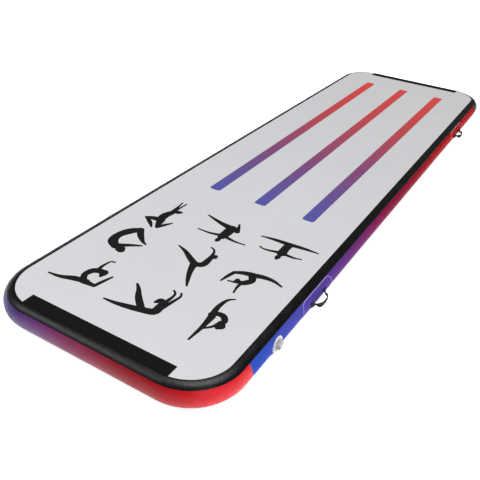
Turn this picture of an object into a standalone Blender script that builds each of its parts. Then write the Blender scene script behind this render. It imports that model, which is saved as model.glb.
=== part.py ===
"""An inflatable air track mat, built by drop stitch. Metres, +Z up, the length along Y, resting on z = 0.

Two coated decks are held parallel by a field of yarns. Curved wall bands close the edge between them,
welded over an inner tape and under two seam tapes. Hook-and-loop strips lie on the top deck at both ends.
An inflation valve and four carrying handles sit on the long sides.
"""

import math

import bmesh
import bpy
from mathutils import Matrix, Vector

# Overall size
LENGTH = 3.50
WIDTH = 1.00
THICKNESS = 0.100
MID = THICKNESS / 2
EDGE_RADIUS = THICKNESS / 2
END_BULGE = 0.045

# Flat part of the decks, inside the rounded edge
DECK_HALF_WIDTH = WIDTH / 2 - EDGE_RADIUS
DECK_HALF_LENGTH = LENGTH / 2 - END_BULGE
DECK_CORNER = 0.163
CORNER_GROWTH = 0.95
END_GROWTH = END_BULGE / EDGE_RADIUS
CORNER_STEPS = 8

# Coated fabrics, welded one on the other
GAP = 0.0003
DECK_SHEET = 0.0010
WALL_SHEET = 0.0010
INNER_SHEET = 0.0010
TAPE_SHEET = 0.0008
TAPE_EDGE = 47
DECK_EDGE = 57
BOTTOM_TAPE_EDGE = 72
DECK_ANGLES = (DECK_EDGE, 68, 79, 90)
WALL_ANGLES = (-56, -40, -35, -28, -14, 0, 14, 28, 35, 40, 56)
WALL_JOINT_Y = 1.504
WALL_JOINT_GAP = 0.0006

# Yarn field between the decks
CORE_HALF_WIDTH = 0.40
CORE_HALF_LENGTH = 1.65
CORE_COLUMNS = 4
CORE_ROWS = 12
SCRIM = 0.0005
YARN_WIDTH = 0.012

# Hook-and-loop strips
STRIP_LENGTH = 0.626
STRIP_WIDTH = 0.047
STRIP_THICKNESS = 0.0020
STRIP_INNER_Y = 1.6545

# Valve, on the right-hand side, with its axis along X
VALVE_Y = -1.335
VALVE_FLAT = 0.045
VALVE_FLAT_RADIUS = 0.031
VALVE_BLEND_RADIUS = 0.058
VALVE_PANEL = 0.060
VALVE_FLAT_TOP = 0.0285
VALVE_BLEND_TOP = 0.0345
VALVE_SEAT_X = DECK_HALF_WIDTH + VALVE_FLAT
VALVE_STEPS = 28
FLANGE_RADIUS = 0.030
FLANGE_THICKNESS = 0.0040
FLANGE_RIM = 0.0008
BARREL_RADIUS = 0.0200
SOCKET_RADIUS = 0.0165
WALL_HOLE_RADIUS = BARREL_RADIUS + 0.0005
WEB_TOP = -0.0160
WEB_THICKNESS = 0.0020
BARREL_END = -0.0320
SEAT_RADIUS = 0.0125
STEM_RADIUS = 0.0030
BUTTON_RADIUS = 0.0065
BUTTON_TOP = -0.0030
BUTTON_THICKNESS = 0.0025
NUT_RADIUS = 0.0270
SPRING_TURNS = 4
SPRING_RADIUS = 0.0045
SPRING_WIRE = 0.0008
CAP_RADIUS = 0.0235
CAP_LOBES = 4
LOBE_CENTRE = 0.0118
LOBE_RADIUS = 0.0064
GRIP_HEIGHT = 0.0100

# Handles, two on each long side
HANDLE_Y = 1.018
PATCH_HALF_LENGTH = 0.122
PATCH_EDGE = 44
PATCH_CORNER = 0.030
PATCH_SHEET = 0.0010
STRAP_THICKNESS = 0.0016
STRAP_WIDTH = 0.025
STRAP_START = 0.061
NECK_Y = 0.0468
NECK_OUT = 0.0060
NECK_WIDTH = 0.005
NECK_THICKNESS = 0.003
NECK_ROUTE = ((NECK_Y, 0.0), (0.0440, 0.0004), (0.0428, 0.0030))
BOW_HALF = 0.044
GRIP_WIDTH = 0.020
GRIP_THICKNESS = 0.004
LOOP_REACH = 0.026
LOOP_DROOP = 12


def clear_scene():
    for obj in list(bpy.data.objects):
        bpy.data.objects.remove(obj, do_unlink=True)


def material(name, colour, roughness, metallic=0.0):
    """A Principled BSDF material, made once for each name."""
    found = bpy.data.materials.get(name)
    if found:
        return found
    made = bpy.data.materials.new(name)
    made.use_nodes = True
    shader = made.node_tree.nodes["Principled BSDF"]
    shader.inputs["Base Color"].default_value = (*colour, 1.0)
    shader.inputs["Roughness"].default_value = roughness
    shader.inputs["Metallic"].default_value = metallic
    made.diffuse_color = (*colour, 1.0)
    return made


def deck_pvc():
    return material("deck_pvc", (0.66, 0.67, 0.69), 0.5)


def wall_pvc():
    return material("wall_pvc", (0.30, 0.06, 0.30), 0.35)


def tape_pvc():
    return material("tape_pvc", (0.012, 0.012, 0.014), 0.3)


def inner_pvc():
    return material("inner_pvc", (0.45, 0.45, 0.46), 0.6)


def yarn_white():
    return material("yarn_white", (0.75, 0.75, 0.72), 0.9)


def hook_and_loop():
    return material("hook_and_loop", (0.006, 0.006, 0.007), 0.95)


def webbing():
    return material("webbing", (0.010, 0.010, 0.011), 0.85)


def valve_plastic():
    return material("valve_plastic", (0.52, 0.53, 0.54), 0.4)


def valve_rubber():
    return material("valve_rubber", (0.03, 0.03, 0.03), 0.8)


def spring_steel():
    return material("spring_steel", (0.60, 0.60, 0.62), 0.3, 1.0)


def new_object(name, mesh, finish):
    """An object for the mesh, in the scene, with the finish and smooth round faces."""
    mesh.materials.clear()
    mesh.materials.append(finish)
    mesh.shade_smooth()
    mesh.set_sharp_from_angle(angle=math.radians(35))
    obj = bpy.data.objects.new(name, mesh)
    bpy.context.scene.collection.objects.link(obj)
    return obj


def finish_mesh(name, bm):
    """The bmesh as a mesh with its faces pointing out."""
    bmesh.ops.remove_doubles(bm, verts=bm.verts, dist=1e-6)
    bmesh.ops.recalc_face_normals(bm, faces=bm.faces)
    mesh = bpy.data.meshes.new(name)
    bm.to_mesh(mesh)
    bm.free()
    return mesh


def boolean(obj, other, operation):
    """Cuts or joins a helper object, which is then hidden."""
    cut = obj.modifiers.new(other.name, "BOOLEAN")
    cut.operation = operation
    cut.solver = "EXACT"
    cut.object = other
    other.hide_render = True
    other.display_type = "WIRE"


def smooth_step(value):
    value = min(max(value, 0.0), 1.0)
    return value * value * (3 - 2 * value)


# The edge of the mat: a place is a station along the outline, a radius and an angle round the edge


def corner_station(side_x, side_y, angle):
    """A place on a rounded corner of the outline, at an angle from +X in the plan."""

    def at(offset):
        radius = DECK_CORNER + CORNER_GROWTH * offset
        centre_x = DECK_HALF_WIDTH + offset - radius
        centre_y = DECK_HALF_LENGTH + END_GROWTH * offset - radius
        x = side_x * centre_x + radius * math.cos(angle)
        y = side_y * centre_y + radius * math.sin(angle)
        return x, y

    return at


def side_station(side_x, y):
    """A place on a long straight side of the outline."""

    def at(offset):
        return side_x * (DECK_HALF_WIDTH + offset), y

    return at


def corner_stations(side_x, side_y):
    """The stations round one corner, counterclockwise seen from above."""
    start = {(1, 1): 0, (-1, 1): 90, (-1, -1): 180, (1, -1): 270}[side_x, side_y]
    steps = [start + 90 * step / CORNER_STEPS for step in range(CORNER_STEPS + 1)]
    return [corner_station(side_x, side_y, math.radians(angle)) for angle in steps]


def valve_stations():
    """Close stations along the right-hand side, where the valve draws the wall flat."""
    steps = (-VALVE_PANEL, -0.050, -0.040, -0.030, -0.015, 0.0, 0.015, 0.030, 0.040, 0.050, VALVE_PANEL)
    return [side_station(1, VALVE_Y + step) for step in steps]


def outline_stations(right_side=()):
    """The whole outline, counterclockwise from the near right corner's end."""
    corners = corner_stations(1, 1) + corner_stations(-1, 1)
    corners += corner_stations(-1, -1) + corner_stations(1, -1)
    return list(right_side) + corners


def flat_share(y, height):
    """How far the valve draws the wall flat at a place: 1 under the flange, 0 away from it."""
    across = math.hypot(y - VALVE_Y, height)
    round_valve = 1 - (across - VALVE_FLAT_RADIUS) / (VALVE_BLEND_RADIUS - VALVE_FLAT_RADIUS)
    below_tape = (VALVE_BLEND_TOP - abs(height)) / (VALVE_BLEND_TOP - VALVE_FLAT_TOP)
    return smooth_step(round_valve) * smooth_step(below_tape)


def edge_point(station, radius, angle):
    """A point of the rounded edge, at a radius and an angle above the horizontal, in degrees."""
    offset = radius * math.cos(math.radians(angle))
    height = radius * math.sin(math.radians(angle))
    x, y = station(offset)
    if x > 0 and abs(y - VALVE_Y) < VALVE_BLEND_RADIUS:
        inset = EDGE_RADIUS - radius
        share = flat_share(y, height)
        x += share * (VALVE_FLAT - inset - offset)
    return Vector((x, y, MID + height))


def swept(name, stations, section, finish, loop=False, lids=False):
    """Sweeps a section of (radius, angle) places through the stations.

    A loop closes on itself, and another sweep gets an end face at both ends. With lids the section
    is open, and its first and last rows are filled across the mat. Both faces of a sheet are split
    along the same diagonals, so that sheets which lie on each other stay clear.
    """
    bm = bmesh.new()
    rows = [[bm.verts.new(edge_point(at, *place)) for place in section] for at in stations]
    laps = len(rows) if loop else len(rows) - 1
    bands = len(section) - 1 if lids else len(section)
    for lap in range(laps):
        here, there = rows[lap], rows[(lap + 1) % len(rows)]
        for band in range(bands):
            after = (band + 1) % len(section)
            if band < len(section) // 2:
                bm.faces.new((here[band], there[band], there[after]))
                bm.faces.new((here[band], there[after], here[after]))
            else:
                bm.faces.new((here[band], there[band], here[after]))
                bm.faces.new((there[band], there[after], here[after]))
    if lids:
        bm.faces.new([row[0] for row in rows])
        bm.faces.new([row[-1] for row in rows])
    elif not loop:
        bm.faces.new(rows[0])
        bm.faces.new(rows[-1])
    return new_object(name, finish_mesh(name, bm), finish)


def sheet_section(outer_radius, thickness, angles):
    """The section of a sheet that follows the edge: out along one face and back along the other."""
    outside = [(outer_radius, angle) for angle in angles]
    inside = [(outer_radius - thickness, angle) for angle in reversed(angles)]
    return outside + inside


def deck(name, side):
    """A coated deck sheet: flat, with a lip that turns down over the edge."""
    angles = [side * angle for angle in reversed(DECK_ANGLES)]
    section = sheet_section(EDGE_RADIUS, DECK_SHEET, angles)
    return swept(name, outline_stations(), section, deck_pvc(), loop=True, lids=True)


def seam_tape(name, angles):
    """A black tape, welded over the joint of deck and wall, all round the mat."""
    section = sheet_section(EDGE_RADIUS + GAP + TAPE_SHEET, TAPE_SHEET, angles)
    return swept(name, outline_stations(), section, tape_pvc(), loop=True)


def valve_hole(name):
    """A cutter along X for the valve's barrel."""
    bm = bmesh.new()
    turn = Matrix.Rotation(math.radians(90), 4, "Y")
    place = Matrix.Translation((VALVE_SEAT_X, VALVE_Y, MID)) @ turn
    radius = WALL_HOLE_RADIUS
    bmesh.ops.create_cone(
        bm, cap_ends=True, segments=VALVE_STEPS, radius1=radius, radius2=radius, depth=0.03, matrix=place
    )
    return new_object(name, finish_mesh(name, bm), wall_pvc())


def inner_wall_tape():
    """The airtight tape inside the edge, which the wall bands are welded over."""
    section = sheet_section(EDGE_RADIUS - WALL_SHEET - GAP, INNER_SHEET, WALL_ANGLES)
    stations = outline_stations(valve_stations())
    tape = swept("inner_wall_tape", stations, section, inner_pvc(), loop=True)
    boolean(tape, valve_hole("inner_tape_hole"), "DIFFERENCE")


def side_wall(name, side_x, start, end, stations=()):
    """A printed wall band along a straight side, from one Y to another."""
    section = sheet_section(EDGE_RADIUS, WALL_SHEET, WALL_ANGLES)
    line = [side_station(side_x, start), *stations, side_station(side_x, end)]
    return swept(name, line, section, wall_pvc())


def end_wall(name, side_y):
    """A printed wall band round one end and both of its corners."""
    section = sheet_section(EDGE_RADIUS, WALL_SHEET, WALL_ANGLES)
    first = side_station(side_y, side_y * WALL_JOINT_Y)
    last = side_station(-side_y, side_y * WALL_JOINT_Y)
    corners = corner_stations(side_y, side_y) + corner_stations(-side_y, side_y)
    return swept(name, [first, *corners, last], section, wall_pvc())


def walls():
    """The four wall bands. The one on the right is cut at both sides of the panel that holds the valve."""
    reach = WALL_JOINT_Y - WALL_JOINT_GAP
    panel_start = VALVE_Y - VALVE_PANEL
    panel_end = VALVE_Y + VALVE_PANEL
    side_wall("side_wall_left", -1, -reach, reach)
    side_wall("side_wall_right", 1, panel_end + WALL_JOINT_GAP, reach)
    side_wall("side_wall_right_end", 1, -reach, panel_start - WALL_JOINT_GAP)
    panel = side_wall("valve_wall_panel", 1, panel_start, panel_end, valve_stations()[1:-1])
    boolean(panel, valve_hole("panel_hole"), "DIFFERENCE")
    end_wall("end_wall_near", -1)
    end_wall("end_wall_far", 1)


# The yarn field


def drop_stitch_core():
    """Two woven scrims, tied together by a field of yarn bundles."""
    bm = bmesh.new()
    lower = MID - EDGE_RADIUS + DECK_SHEET + GAP
    upper = MID + EDGE_RADIUS - DECK_SHEET - GAP
    levels = (lower + SCRIM, upper - SCRIM)
    openings = []
    for level, outside in zip(levels, (lower, upper)):
        size = Matrix.Diagonal((CORE_HALF_WIDTH, CORE_HALF_LENGTH, 1, 1))
        place = Matrix.Translation((0, 0, level)) @ size
        grid = bmesh.ops.create_grid(
            bm, x_segments=CORE_COLUMNS, y_segments=CORE_ROWS, size=1, matrix=place
        )
        cells = list({face for vert in grid["verts"] for face in vert.link_faces})
        border = [edge for face in cells for edge in face.edges if edge.is_boundary]
        side = bmesh.ops.extrude_edge_only(bm, edges=list(set(border)))["geom"]
        moved = [item for item in side if isinstance(item, bmesh.types.BMVert)]
        for vert in moved:
            vert.co.z = outside
        rim = [item for item in side if isinstance(item, bmesh.types.BMEdge)]
        bmesh.ops.contextual_create(bm, geom=[edge for edge in rim if edge.is_boundary])
        openings.append(yarn_holes(bm, cells))
    for low_hole, high_hole in zip(*openings):
        bmesh.ops.bridge_loops(bm, edges=low_hole + high_hole)
    return new_object("drop_stitch_core", finish_mesh("drop_stitch_core", bm), yarn_white())


def yarn_holes(bm, cells):
    """Cuts a yarn's square out of each cell, and gives the squares' edges in order of place."""
    holes = []
    for cell in sorted(cells, key=lambda face: face.calc_center_median()[:2]):
        centre = cell.calc_center_median()
        bmesh.ops.inset_individual(bm, faces=[cell], thickness=YARN_WIDTH, depth=0)
        for vert in cell.verts:
            toward = vert.co - centre
            vert.co.x = centre.x + math.copysign(YARN_WIDTH / 2, toward.x)
            vert.co.y = centre.y + math.copysign(YARN_WIDTH / 2, toward.y)
        holes.append(list(cell.edges))
        bmesh.ops.delete(bm, geom=[cell], context="FACES_ONLY")
    return holes


# Connector strips


def connector_strip(name, side_y):
    """A hook-and-loop strip across one end of the top deck, with softened edges."""
    bm = bmesh.new()
    size = (STRIP_LENGTH, STRIP_WIDTH, STRIP_THICKNESS, 1)
    middle_y = side_y * (STRIP_INNER_Y + STRIP_WIDTH / 2)
    middle_z = THICKNESS + GAP + STRIP_THICKNESS / 2
    place = Matrix.Translation((0, middle_y, middle_z)) @ Matrix.Diagonal(size)
    bmesh.ops.create_cube(bm, size=1, matrix=place)
    strip = new_object(name, finish_mesh(name, bm), hook_and_loop())
    rounding = strip.modifiers.new("soft_edges", "BEVEL")
    rounding.width = 0.0006
    rounding.segments = 1
    return strip


# The valve: its parts are turned about the X axis, and `out` runs outward from the flat wall


def turned(name, profile, finish, steps=VALVE_STEPS, closed=True):
    """Turns a profile of (radius, out) points about the valve's axis."""
    bm = bmesh.new()
    verts = [bm.verts.new((out, radius, 0)) for radius, out in profile]
    pairs = list(zip(verts, verts[1:]))
    if closed:
        pairs.append((verts[-1], verts[0]))
    edges = [bm.edges.new(pair) for pair in pairs]
    bmesh.ops.spin(
        bm, geom=verts + edges, axis=(1, 0, 0), cent=(0, 0, 0), steps=steps, angle=math.tau
    )
    obj = new_object(name, finish_mesh(name, bm), finish)
    obj.location = (VALVE_SEAT_X, VALVE_Y, MID)
    return obj


def rod(name, radius, start, end, centre=(0, 0), steps=16):
    """A helper cylinder along the valve's axis, off it by `centre` in Y and Z."""
    bm = bmesh.new()
    turn = Matrix.Rotation(math.radians(90), 4, "Y")
    place = Matrix.Translation(((start + end) / 2, *centre)) @ turn
    bmesh.ops.create_cone(
        bm, cap_ends=True, segments=steps, radius1=radius, radius2=radius, depth=end - start, matrix=place
    )
    obj = new_object(name, finish_mesh(name, bm), valve_plastic())
    obj.location = (VALVE_SEAT_X, VALVE_Y, MID)
    return obj


def valve_body():
    """The outer flange with its barrel, the web that guides the stem, and the seat at its inner end.

    A low rim stands round the cap on the flange's face.
    """
    face = GAP + FLANGE_THICKNESS
    rim = face + FLANGE_RIM
    web_end = WEB_TOP - WEB_THICKNESS
    profile = (
        (BARREL_RADIUS, GAP),
        (FLANGE_RADIUS, GAP),
        (FLANGE_RADIUS, rim - 0.0012),
        (FLANGE_RADIUS - 0.0012, rim),
        (CAP_RADIUS + 0.0014, rim),
        (CAP_RADIUS + 0.0008, face),
        (SOCKET_RADIUS, face),
        (SOCKET_RADIUS, WEB_TOP),
        (STEM_RADIUS + GAP, WEB_TOP),
        (STEM_RADIUS + GAP, web_end),
        (SOCKET_RADIUS, web_end),
        (SOCKET_RADIUS, BARREL_END + 0.0030),
        (SEAT_RADIUS, BARREL_END + 0.0020),
        (SEAT_RADIUS, BARREL_END),
        (BARREL_RADIUS, BARREL_END),
    )
    body = turned("valve_body", profile, valve_plastic())
    for number in range(4):
        angle = math.radians(45 + 90 * number)
        centre = (0.0105 * math.cos(angle), 0.0105 * math.sin(angle))
        window = rod(f"air_window_{number}", 0.0042, web_end - 0.002, WEB_TOP + 0.002, centre, 10)
        boolean(body, window, "DIFFERENCE")


def valve_gasket():
    """A rubber ring between the inner tape and the nut."""
    start = -(WALL_SHEET + INNER_SHEET + 2 * GAP)
    ring = ((NUT_RADIUS, start), (BARREL_RADIUS + GAP, start))
    back = ((BARREL_RADIUS + GAP, start - 0.0010), (NUT_RADIUS, start - 0.0010))
    turned("valve_gasket", ring + back, valve_rubber())


def valve_base_nut():
    """The nut inside the mat, which clamps the wall against the flange."""
    start = -(WALL_SHEET + INNER_SHEET + 0.0010 + 3 * GAP)
    bore = BARREL_RADIUS + GAP
    profile = (
        (bore, start),
        (NUT_RADIUS, start),
        (NUT_RADIUS, start - 0.0035),
        (0.0245, start - 0.0045),
        (0.0245, -0.0200),
        (bore, -0.0200),
    )
    turned("valve_base_nut", profile, valve_plastic())


def valve_plunger():
    """The button, its stem, and the plate that holds the diaphragm on the seat."""
    under_button = BUTTON_TOP - BUTTON_THICKNESS
    plate = BARREL_END - GAP - 0.0015 - GAP
    profile = (
        (0, BUTTON_TOP),
        (BUTTON_RADIUS - 0.0008, BUTTON_TOP),
        (BUTTON_RADIUS, BUTTON_TOP - 0.0008),
        (BUTTON_RADIUS, under_button),
        (STEM_RADIUS, under_button),
        (STEM_RADIUS, plate),
        (0.0150, plate),
        (0.0150, plate - 0.0020),
        (0, plate - 0.0020),
    )
    turned("valve_plunger", profile, valve_plastic(), steps=20, closed=False)


def valve_diaphragm():
    """The rubber disc that seals the seat from inside."""
    start = BARREL_END - GAP
    bore = STEM_RADIUS + GAP
    profile = ((0.0155, start), (bore, start), (bore, start - 0.0015), (0.0155, start - 0.0015))
    turned("valve_diaphragm", profile, valve_rubber(), steps=24)


def valve_spring():
    """The coil spring round the stem, between the web and the button."""
    low = WEB_TOP + GAP + SPRING_WIRE / 2
    high = BUTTON_TOP - BUTTON_THICKNESS - GAP - SPRING_WIRE / 2
    per_turn = 10
    count = SPRING_TURNS * per_turn
    curve = bpy.data.curves.new("valve_spring", "CURVE")
    curve.dimensions = "3D"
    curve.bevel_depth = SPRING_WIRE / 2
    curve.bevel_resolution = 1
    curve.use_fill_caps = True
    spline = curve.splines.new("POLY")
    spline.points.add(count)
    for number, point in enumerate(spline.points):
        angle = math.tau * number / per_turn
        out = low + (high - low) * number / count
        y = SPRING_RADIUS * math.cos(angle)
        z = SPRING_RADIUS * math.sin(angle)
        point.co = (out, y, z, 1)
    curve.materials.append(spring_steel())
    spring = bpy.data.objects.new("valve_spring", curve)
    spring.location = (VALVE_SEAT_X, VALVE_Y, MID)
    bpy.context.scene.collection.objects.link(spring)


def valve_cap():
    """The screw-in cap: a disc with a hollow plug behind it and a lobed grip in front."""
    under = GAP + FLANGE_THICKNESS + GAP
    top = under + 0.0030
    profile = (
        (0, top),
        (CAP_RADIUS - 0.0010, top),
        (CAP_RADIUS, top - 0.0010),
        (CAP_RADIUS, under),
        (0.0156, under),
        (0.0156, under - 0.0006),
        (0.0138, under - 0.0006),
        (0.0138, under - 0.0034),
        (0.0156, under - 0.0034),
        (0.0156, -0.0015),
        (0.0120, -0.0015),
        (0.0120, under),
        (0, under),
    )
    cap = turned("valve_cap", profile, valve_plastic(), closed=False)
    hub = rod("cap_hub", 0.0100, top - 0.0010, top + GRIP_HEIGHT - 0.0010, steps=20)
    boolean(cap, hub, "UNION")
    for number in range(CAP_LOBES):
        angle = math.tau * (number + 0.5) / CAP_LOBES
        centre = (LOBE_CENTRE * math.cos(angle), LOBE_CENTRE * math.sin(angle))
        lobe = rod(f"cap_lobe_{number}", LOBE_RADIUS, top - 0.0012, top + GRIP_HEIGHT, centre, 12)
        boolean(cap, lobe, "UNION")


def valve_cap_seal():
    """The O-ring in the plug's groove."""
    middle = GAP + FLANGE_THICKNESS + GAP - 0.0020
    major = 0.0152
    minor = 0.0010
    sides = 8
    ring = []
    for number in range(sides):
        angle = math.tau * number / sides
        ring.append((major + minor * math.cos(angle), middle + minor * math.sin(angle)))
    turned("valve_cap_seal", ring, valve_rubber(), steps=24)


# The handles: `out` runs outward from the wall's crest, on either long side


def lofted(name, sections, finish):
    """Joins closed sections of equal length one after the other, with a face at both ends."""
    bm = bmesh.new()
    rows = [[bm.verts.new(point) for point in section] for section in sections]
    for here, there in zip(rows, rows[1:]):
        for number in range(len(here)):
            after = (number + 1) % len(here)
            bm.faces.new((here[number], there[number], there[after], here[after]))
    bm.faces.new(rows[0])
    bm.faces.new(rows[-1])
    return new_object(name, finish_mesh(name, bm), finish)


def handle_patch(name, side_x, centre_y):
    """The rounded patch that is welded on the wall and holds the strap's ends."""
    outer = EDGE_RADIUS + GAP + PATCH_SHEET
    inner = EDGE_RADIUS + GAP
    half_height = EDGE_RADIUS * math.radians(PATCH_EDGE)
    straight = half_height - PATCH_CORNER
    sections = []
    for degrees in (-PATCH_EDGE, *WALL_ANGLES[1:-1], PATCH_EDGE):
        angle = math.radians(degrees)
        into_corner = max(EDGE_RADIUS * abs(angle) - straight, 0)
        half = PATCH_HALF_LENGTH - PATCH_CORNER
        half += math.sqrt(max(PATCH_CORNER**2 - into_corner**2, 0))
        section = []
        for radius, side in ((outer, 1), (outer, -1), (inner, -1), (inner, 1)):
            x = side_x * (DECK_HALF_WIDTH + radius * math.cos(angle))
            section.append((x, centre_y + side * half, MID + radius * math.sin(angle)))
        sections.append(section)
    return lofted(name, sections, wall_pvc())


def band_section(centre, across, normal, width, thickness, bend=0.0):
    """A flat band's section: its width lies along `across`, and curves away from `normal` by `bend`."""
    shares = (-1, -0.5, 0, 0.5, 1)
    front = []
    back = []
    for share in shares:
        reach = share * width / 2
        middle = centre + across * reach - normal * (bend * reach * reach / 2)
        front.append(middle + normal * (thickness / 2))
        back.append(middle - normal * (thickness / 2))
    return front + back[::-1]


def strap_end(name, side_x, centre_y, side_y):
    """A strap's end, out of the patch: full width on the patch, gathered to a neck off the wall."""
    crest = DECK_HALF_WIDTH + EDGE_RADIUS
    seat = 2 * GAP + PATCH_SHEET + STRAP_THICKNESS / 2
    bend = 1 / (EDGE_RADIUS + seat)
    route = (
        (STRAP_START, seat, STRAP_WIDTH, STRAP_THICKNESS, bend),
        (0.0550, seat, STRAP_WIDTH, STRAP_THICKNESS, bend),
        (0.0510, seat + 0.0012, 0.017, 0.0022, bend / 2),
        (NECK_Y + GAP, NECK_OUT, NECK_WIDTH, NECK_THICKNESS, 0.0),
    )
    sections = []
    for along, out, width, thickness, curve in route:
        centre = Vector((side_x * (crest + out), centre_y + side_y * along, MID))
        sections.append(
            band_section(centre, Vector((0, 0, 1)), Vector((side_x, 0, 0)), width, thickness, curve)
        )
    return lofted(name, sections, webbing())


def loop_places():
    """Where the grip's centre line runs: (along Y, out from the necks), from one neck to the other."""
    half = list(NECK_ROUTE)
    for turn in (70, 52, 35, 17):
        spread = math.sin(math.radians(turn))
        reach = math.cos(math.radians(turn))
        half.append((BOW_HALF * spread**0.62, LOOP_REACH * reach**0.9))
    mirrored = [(-along, reach) for along, reach in reversed(half)]
    return half + [(0.0, LOOP_REACH)] + mirrored


def handle_loop(name, side_x, centre_y):
    """The grip: a strap that bows out between its two necks, thick where its edges curl in at the middle."""
    droop = math.radians(LOOP_DROOP)
    out = Vector((side_x * math.cos(droop), 0, -math.sin(droop)))
    up = Vector((side_x * math.sin(droop), 0, math.cos(droop)))
    places = loop_places()
    sections = []
    for number, (along, reach) in enumerate(places):
        at_neck = number in (0, len(places) - 1)
        before = places[number - 1]
        after = places[(number + 1) % len(places)]
        rise = 0.0 if at_neck else after[1] - before[1]
        forward = -1.0 if at_neck else after[0] - before[0]
        run = Vector((0, forward, 0)) + out * rise
        normal = run.cross(up).normalized()
        share = smooth_step(reach / (0.8 * LOOP_REACH))
        width = NECK_WIDTH + share * (GRIP_WIDTH - NECK_WIDTH)
        thickness = NECK_THICKNESS + share * (GRIP_THICKNESS - NECK_THICKNESS)
        centre = Vector((0, along, 0)) + out * reach
        sections.append(band_section(centre, up, normal, width, thickness))
    grip = lofted(name, sections, webbing())
    grip.location = (side_x * (DECK_HALF_WIDTH + EDGE_RADIUS + NECK_OUT), centre_y, MID)
    return grip


def handles():
    for end, side_y in (("near", -1), ("far", 1)):
        for side, side_x in (("right", 1), ("left", -1)):
            place = f"{end}_{side}"
            centre_y = side_y * HANDLE_Y
            handle_patch(f"handle_patch_{place}", side_x, centre_y)
            strap_end(f"strap_end_a_{place}", side_x, centre_y, -1)
            strap_end(f"strap_end_b_{place}", side_x, centre_y, 1)
            handle_loop(f"handle_loop_{place}", side_x, centre_y)


def main():
    clear_scene()
    deck("top_deck", 1)
    deck("bottom_deck", -1)
    drop_stitch_core()
    inner_wall_tape()
    walls()
    seam_tape("top_seam_tape", (90, 79, 68, DECK_EDGE, TAPE_EDGE))
    seam_tape("bottom_seam_tape", (-TAPE_EDGE, -DECK_EDGE, -68, -BOTTOM_TAPE_EDGE))
    connector_strip("connector_strip_near", -1)
    connector_strip("connector_strip_far", 1)
    valve_body()
    valve_gasket()
    valve_base_nut()
    valve_plunger()
    valve_diaphragm()
    valve_spring()
    valve_cap()
    valve_cap_seal()
    handles()


main()
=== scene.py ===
from math import atan2, cos, hypot, pi, radians, sin, sqrt, tau

import bmesh
import bpy
from mathutils import Matrix, Vector, noise


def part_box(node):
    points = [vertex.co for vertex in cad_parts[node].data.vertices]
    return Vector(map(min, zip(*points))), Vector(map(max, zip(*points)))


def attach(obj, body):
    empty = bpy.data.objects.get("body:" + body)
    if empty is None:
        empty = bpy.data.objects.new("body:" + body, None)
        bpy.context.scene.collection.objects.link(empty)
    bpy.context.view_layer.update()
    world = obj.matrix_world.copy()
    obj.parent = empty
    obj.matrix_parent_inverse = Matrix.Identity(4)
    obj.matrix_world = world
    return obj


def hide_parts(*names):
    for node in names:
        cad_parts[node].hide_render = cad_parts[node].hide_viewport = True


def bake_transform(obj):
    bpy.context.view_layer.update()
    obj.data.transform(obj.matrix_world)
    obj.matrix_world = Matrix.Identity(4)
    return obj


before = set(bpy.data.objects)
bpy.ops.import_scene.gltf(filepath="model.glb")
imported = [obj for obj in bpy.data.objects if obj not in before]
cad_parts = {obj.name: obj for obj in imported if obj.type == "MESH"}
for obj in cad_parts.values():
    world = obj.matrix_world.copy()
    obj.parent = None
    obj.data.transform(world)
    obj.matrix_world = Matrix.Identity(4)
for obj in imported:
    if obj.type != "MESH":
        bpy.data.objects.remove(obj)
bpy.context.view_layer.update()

# The mat, in metres: Y along its length, +X towards the side that holds the valve, Z up from the floor
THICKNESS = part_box("top_deck")[1].z
EDGE_RADIUS = THICKNESS / 2
MID = THICKNESS / 2
END_BULGE = 0.045
DECK_HALF_WIDTH = 0.45
DECK_HALF_LENGTH = 1.705
DECK_CORNER = 0.163
CORNER_GROWTH = 0.95
END_GROWTH = END_BULGE / EDGE_RADIUS

GAP = 0.0003
DECK_SHEET = 0.001
WALL_SHEET = 0.001
TAPE_SHEET = 0.0008
TAPE_EDGE = 47
DECK_EDGE = 57
BOTTOM_TAPE_EDGE = 72
WALL_EDGE = 56
LAP_Y = 1.504
LAP_HIDDEN = 0.026
LAP_FADE = 0.04
LAP_RISE = 0.0002
LAP_DIP = 0.0009

VALVE_LOW, VALVE_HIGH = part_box("valve_body")
VALVE_Y = (VALVE_LOW.y + VALVE_HIGH.y) / 2
VALVE_FLAT = 0.045
VALVE_FLAT_RADIUS = 0.031
VALVE_BLEND_RADIUS = 0.058
VALVE_FLAT_TOP = 0.0285
VALVE_BLEND_TOP = 0.0345
VALVE_HOLE_RADIUS = 0.0205
VALVE_SEAT_X = DECK_HALF_WIDTH + VALVE_FLAT

PATCH_HALF_LENGTH = 0.122
PATCH_EDGE = 44
PATCH_CORNER = 0.03
PATCH_HALF_HEIGHT = EDGE_RADIUS * radians(PATCH_EDGE)
PATCH_SHEET = 0.001

PLACES = ("near_right", "near_left", "far_right", "far_left")


def srgb(red, green, blue):
    """A colour given in 8-bit display values, as linear RGBA."""
    linear = []
    for value in (red, green, blue):
        share = value / 255
        linear.append(share / 12.92 if share <= 0.04045 else ((share + 0.055) / 1.055) ** 2.4)
    return (*linear, 1.0)


def smooth_step(value):
    value = min(max(value, 0.0), 1.0)
    return value * value * (3 - 2 * value)


def steps_between(start, end, count):
    return [start + (end - start) * number / count for number in range(count + 1)]


def new_object(name, data):
    obj = bpy.data.objects.new(name, data)
    bpy.context.scene.collection.objects.link(obj)
    return obj


def take_place(obj, slot, *nodes, body="mat"):
    """Puts a piece on its body and hides the CAD nodes it stands for. Its finish, `slot`, is not used."""
    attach(obj, body)
    if nodes:
        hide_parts(*nodes)


# Camera, light and floor

CAMERA_PLACE = (1.128, -2.754, 1.441)
CAMERA_TURNS = (29.472, 32.433, 3.611)  # azimuth, elevation, roll
CAMERA_LENS = 45.281
CAMERA_SENSOR = 36


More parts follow.
